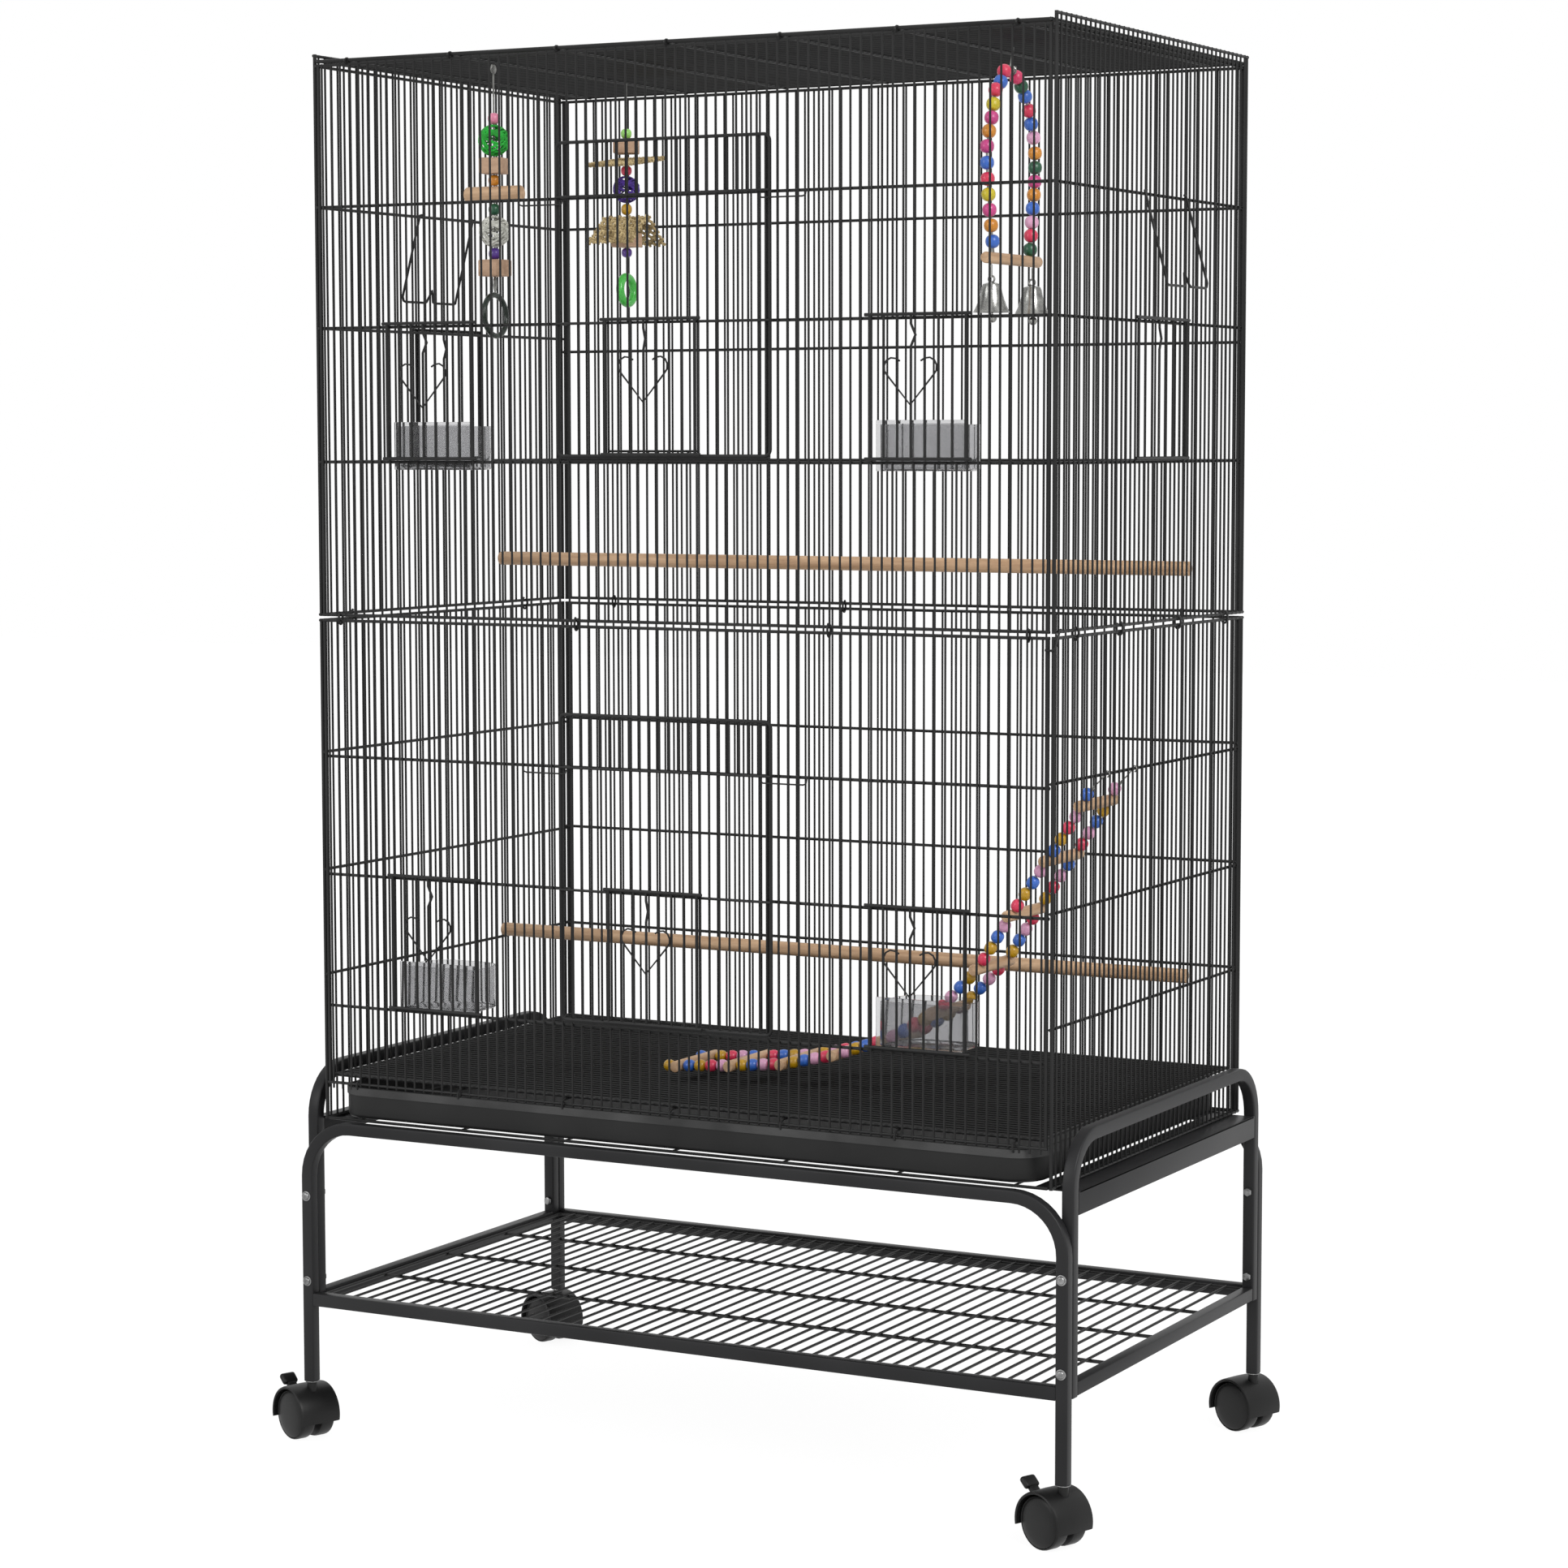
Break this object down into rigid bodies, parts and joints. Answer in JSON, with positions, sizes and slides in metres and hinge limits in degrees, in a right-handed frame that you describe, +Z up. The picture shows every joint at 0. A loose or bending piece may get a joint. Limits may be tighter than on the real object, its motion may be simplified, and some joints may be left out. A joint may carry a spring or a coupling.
{
  "type": "bird cage on stand",
  "caption": "Tall rectangular wire flight cage with front doors, feeder cups, pull-out tray and hanging toys, on a tube stand with a shelf and swivel casters.",
  "frame": {"origin": "on the floor, in the middle of the ground that the casters and the stand cover", "axes": "+Z up, -Y towards the front with the doors, +X towards the right-hand side as seen from the front"},
  "size_m": [0.898, 0.5337, 1.3715],
  "materials": {
    "powder_coat": "black powder coat with a fine texture and a soft sheen",
    "tray_plastic": "black moulded plastic with a pebbled rim",
    "caster_plastic": "black moulded nylon, semi-gloss",
    "smoke_plastic": "smoke-grey translucent plastic",
    "beech": "turned beech dowel, sanded and unvarnished",
    "painted_bead": "brightly painted wooden beads and blocks",
    "ring_plastic": "dyed green plastic",
    "seagrass": "plain-woven seagrass",
    "nickel": "bright nickel plate"
  },
  "bodies": {
    "cage": {"front_frame": "powder_coat", "back_frame": "powder_coat", "left_end_frame": "powder_coat", "right_end_frame": "powder_coat", "shelf_grid": "powder_coat", "base_panel": "powder_coat", "floor_grate": "powder_coat", "roof_panel": "powder_coat", "upper_front_panel": "powder_coat", "upper_back_panel": "powder_coat", "upper_left_panel": "powder_coat", "upper_right_panel": "powder_coat", "upper_perch": "beech", "lower_front_panel": "powder_coat", "lower_back_panel": "powder_coat", "lower_left_panel": "powder_coat", "lower_right_panel": "powder_coat", "lower_perch": "beech", "bead_ladder": "painted_bead"},
    "front_left_caster": {"front_left_caster_hood": "caster_plastic"},
    "front_left_wheels": {"front_left_caster_wheels": "caster_plastic"},
    "front_left_brake": {"front_left_caster_brake": "caster_plastic"},
    "front_right_caster": {"front_right_caster_hood": "caster_plastic"},
    "front_right_wheels": {"front_right_caster_wheels": "caster_plastic"},
    "front_right_brake": {"front_right_caster_brake": "caster_plastic"},
    "back_left_caster": {"back_left_caster_hood": "caster_plastic"},
    "back_left_wheels": {"back_left_caster_wheels": "caster_plastic"},
    "back_right_caster": {"back_right_caster_hood": "caster_plastic"},
    "back_right_wheels": {"back_right_caster_wheels": "caster_plastic"},
    "upper_door": {"upper_swing_door": "powder_coat"},
    "upper_hatch": {"upper_swing_door_hatch": "powder_coat"},
    "upper_left_latch": {"upper_left_door_latch": "powder_coat"},
    "upper_left_feeder": {"upper_left_feeder_door": "powder_coat"},
    "upper_left_cup_body": {"upper_left_cup": "smoke_plastic"},
    "upper_right_latch": {"upper_right_door_latch": "powder_coat"},
    "upper_right_feeder": {"upper_right_feeder_door": "powder_coat"},
    "upper_right_cup_body": {"upper_right_cup": "smoke_plastic"},
    "lower_door": {"lower_swing_door": "powder_coat"},
    "lower_hatch": {"lower_swing_door_hatch": "powder_coat"},
    "lower_left_latch": {"lower_left_door_latch": "powder_coat"},
    "lower_left_feeder": {"lower_left_feeder_door": "powder_coat"},
    "lower_left_cup_body": {"lower_left_cup": "smoke_plastic"},
    "lower_right_latch": {"lower_right_door_latch": "powder_coat"},
    "lower_right_feeder": {"lower_right_feeder_door": "powder_coat"},
    "lower_right_cup_body": {"lower_right_cup": "smoke_plastic"},
    "left_side_hatch": {"left_side_door": "powder_coat"},
    "left_bail": {"left_wire_bail": "powder_coat"},
    "right_side_hatch": {"right_side_door": "powder_coat"},
    "right_bail": {"right_wire_bail": "powder_coat"},
    "drawer": {"tray": "tray_plastic"},
    "toy_a": {"toy_a_string": "painted_bead", "toy_a_ring": "ring_plastic"},
    "toy_b": {"toy_b_string": "painted_bead", "toy_b_ring": "ring_plastic", "toy_b_tent": "seagrass"},
    "swing": {"swing_arch": "painted_bead", "swing_perch": "beech"},
    "front_swing_bell": {"front_bell": "nickel"},
    "back_swing_bell": {"back_bell": "nickel"}
  },
  "joints": [
    {"name": "front_left_swivel", "type": "hinge", "parent": "cage", "child": "front_left_caster", "pos_m": [-0.3973, -0.2396, 0.06], "axis": [0, 0, 1], "continuous": true},
    {"name": "front_left_roll", "type": "hinge", "parent": "front_left_caster", "child": "front_left_wheels", "pos_m": [-0.4084, -0.23503, 0.025], "axis": [0.3811, 0.9245, 0], "continuous": true},
    {"name": "front_left_brake_press", "type": "hinge", "parent": "front_left_caster", "child": "front_left_brake", "pos_m": [-0.43107, -0.22568, 0.04708], "axis": [0.3811, 0.9245, 0], "range_deg": [-15, 0]},
    {"name": "front_right_swivel", "type": "hinge", "parent": "cage", "child": "front_right_caster", "pos_m": [0.4247, -0.2396, 0.06], "axis": [0, 0, 1], "continuous": true},
    {"name": "front_right_roll", "type": "hinge", "parent": "front_right_caster", "child": "front_right_wheels", "pos_m": [0.41361, -0.23503, 0.025], "axis": [0.3811, 0.9245, 0], "continuous": true},
    {"name": "front_right_brake_press", "type": "hinge", "parent": "front_right_caster", "child": "front_right_brake", "pos_m": [0.39093, -0.22568, 0.04708], "axis": [0.3811, 0.9245, 0], "range_deg": [-15, 0]},
    {"name": "back_left_swivel", "type": "hinge", "parent": "cage", "child": "back_left_caster", "pos_m": [-0.3973, 0.2304, 0.06], "axis": [0, 0, 1], "continuous": true},
    {"name": "back_left_roll", "type": "hinge", "parent": "back_left_caster", "child": "back_left_wheels", "pos_m": [-0.4084, 0.23497, 0.025], "axis": [0.3811, 0.9245, 0], "continuous": true},
    {"name": "back_right_swivel", "type": "hinge", "parent": "cage", "child": "back_right_caster", "pos_m": [0.4247, 0.2304, 0.06], "axis": [0, 0, 1], "continuous": true},
    {"name": "back_right_roll", "type": "hinge", "parent": "back_right_caster", "child": "back_right_wheels", "pos_m": [0.41361, 0.23497, 0.025], "axis": [0.3811, 0.9245, 0], "continuous": true},
    {"name": "upper_door_swing", "type": "hinge", "parent": "cage", "child": "upper_door", "pos_m": [0.0137, -0.23705, 0.9825], "axis": [1, 0, 0], "range_deg": [0, 90]},
    {"name": "upper_hatch_lift", "type": "slide", "parent": "upper_door", "child": "upper_hatch", "axis": [0, 0, 1], "range_m": [0, 0.115]},
    {"name": "upper_left_latch_slide", "type": "slide", "parent": "upper_door", "child": "upper_left_latch", "axis": [1, 0, 0], "range_m": [0, 0.04]},
    {"name": "upper_left_feeder_lift", "type": "slide", "parent": "cage", "child": "upper_left_feeder", "axis": [0, 0, 1], "range_m": [0, 0.115]},
    {"name": "upper_left_cup_lift", "type": "slide", "parent": "cage", "child": "upper_left_cup_body", "axis": [0, 0, 1], "range_m": [0, 0.03]},
    {"name": "upper_right_latch_slide", "type": "slide", "parent": "upper_door", "child": "upper_right_latch", "axis": [-1, 0, 0], "range_m": [0, 0.04]},
    {"name": "upper_right_feeder_lift", "type": "slide", "parent": "cage", "child": "upper_right_feeder", "axis": [0, 0, 1], "range_m": [0, 0.115]},
    {"name": "upper_right_cup_lift", "type": "slide", "parent": "cage", "child": "upper_right_cup_body", "axis": [0, 0, 1], "range_m": [0, 0.03]},
    {"name": "lower_door_swing", "type": "hinge", "parent": "cage", "child": "lower_door", "pos_m": [0.0137, -0.23705, 0.4455], "axis": [1, 0, 0], "range_deg": [0, 90]},
    {"name": "lower_hatch_lift", "type": "slide", "parent": "lower_door", "child": "lower_hatch", "axis": [0, 0, 1], "range_m": [0, 0.115]},
    {"name": "lower_left_latch_slide", "type": "slide", "parent": "lower_door", "child": "lower_left_latch", "axis": [1, 0, 0], "range_m": [0, 0.04]},
    {"name": "lower_left_feeder_lift", "type": "slide", "parent": "cage", "child": "lower_left_feeder", "axis": [0, 0, 1], "range_m": [0, 0.115]},
    {"name": "lower_left_cup_lift", "type": "slide", "parent": "cage", "child": "lower_left_cup_body", "axis": [0, 0, 1], "range_m": [0, 0.03]},
    {"name": "lower_right_latch_slide", "type": "slide", "parent": "lower_door", "child": "lower_right_latch", "axis": [-1, 0, 0], "range_m": [0, 0.04]},
    {"name": "lower_right_feeder_lift", "type": "slide", "parent": "cage", "child": "lower_right_feeder", "axis": [0, 0, 1], "range_m": [0, 0.115]},
    {"name": "lower_right_cup_lift", "type": "slide", "parent": "cage", "child": "lower_right_cup_body", "axis": [0, 0, 1], "range_m": [0, 0.03]},
    {"name": "left_side_hatch_lift", "type": "slide", "parent": "cage", "child": "left_side_hatch", "axis": [0, 0, 1], "range_m": [0, 0.1]},
    {"name": "left_bail_swing", "type": "hinge", "parent": "cage", "child": "left_bail", "pos_m": [-0.3853, 0.0074, 1.2265], "axis": [0, 1, 0], "range_deg": [0, 60]},
    {"name": "right_side_hatch_lift", "type": "slide", "parent": "cage", "child": "right_side_hatch", "axis": [0, 0, 1], "range_m": [0, 0.1]},
    {"name": "right_bail_swing", "type": "hinge", "parent": "cage", "child": "right_bail", "pos_m": [0.4127, 0.0074, 1.2265], "axis": [0, -1, 0], "range_deg": [0, 60]},
    {"name": "tray_slide", "type": "slide", "parent": "cage", "child": "drawer", "axis": [0, -1, 0], "range_m": [0, 0.4]},
    {"name": "toy_a_sway", "type": "hinge", "parent": "cage", "child": "toy_a", "pos_m": [-0.2253, -0.1526, 1.3608], "axis": [0, 1, 0], "range_deg": [-20, 20]},
    {"name": "toy_b_sway", "type": "hinge", "parent": "cage", "child": "toy_b", "pos_m": [-0.2123, 0.0784, 1.3608], "axis": [0, 1, 0], "range_deg": [-20, 20]},
    {"name": "swing_sway", "type": "hinge", "parent": "cage", "child": "swing", "pos_m": [0.2894, -0.0661, 1.3613], "axis": [0, 1, 0], "range_deg": [-15, 15]},
    {"name": "front_bell_sway", "type": "hinge", "parent": "swing", "child": "front_swing_bell", "pos_m": [0.2894, -0.1111, 1.1646], "axis": [0, 1, 0], "range_deg": [-15, 15]},
    {"name": "back_bell_sway", "type": "hinge", "parent": "swing", "child": "back_swing_bell", "pos_m": [0.2894, -0.0211, 1.1646], "axis": [0, 1, 0], "range_deg": [-15, 15]}
  ]
}
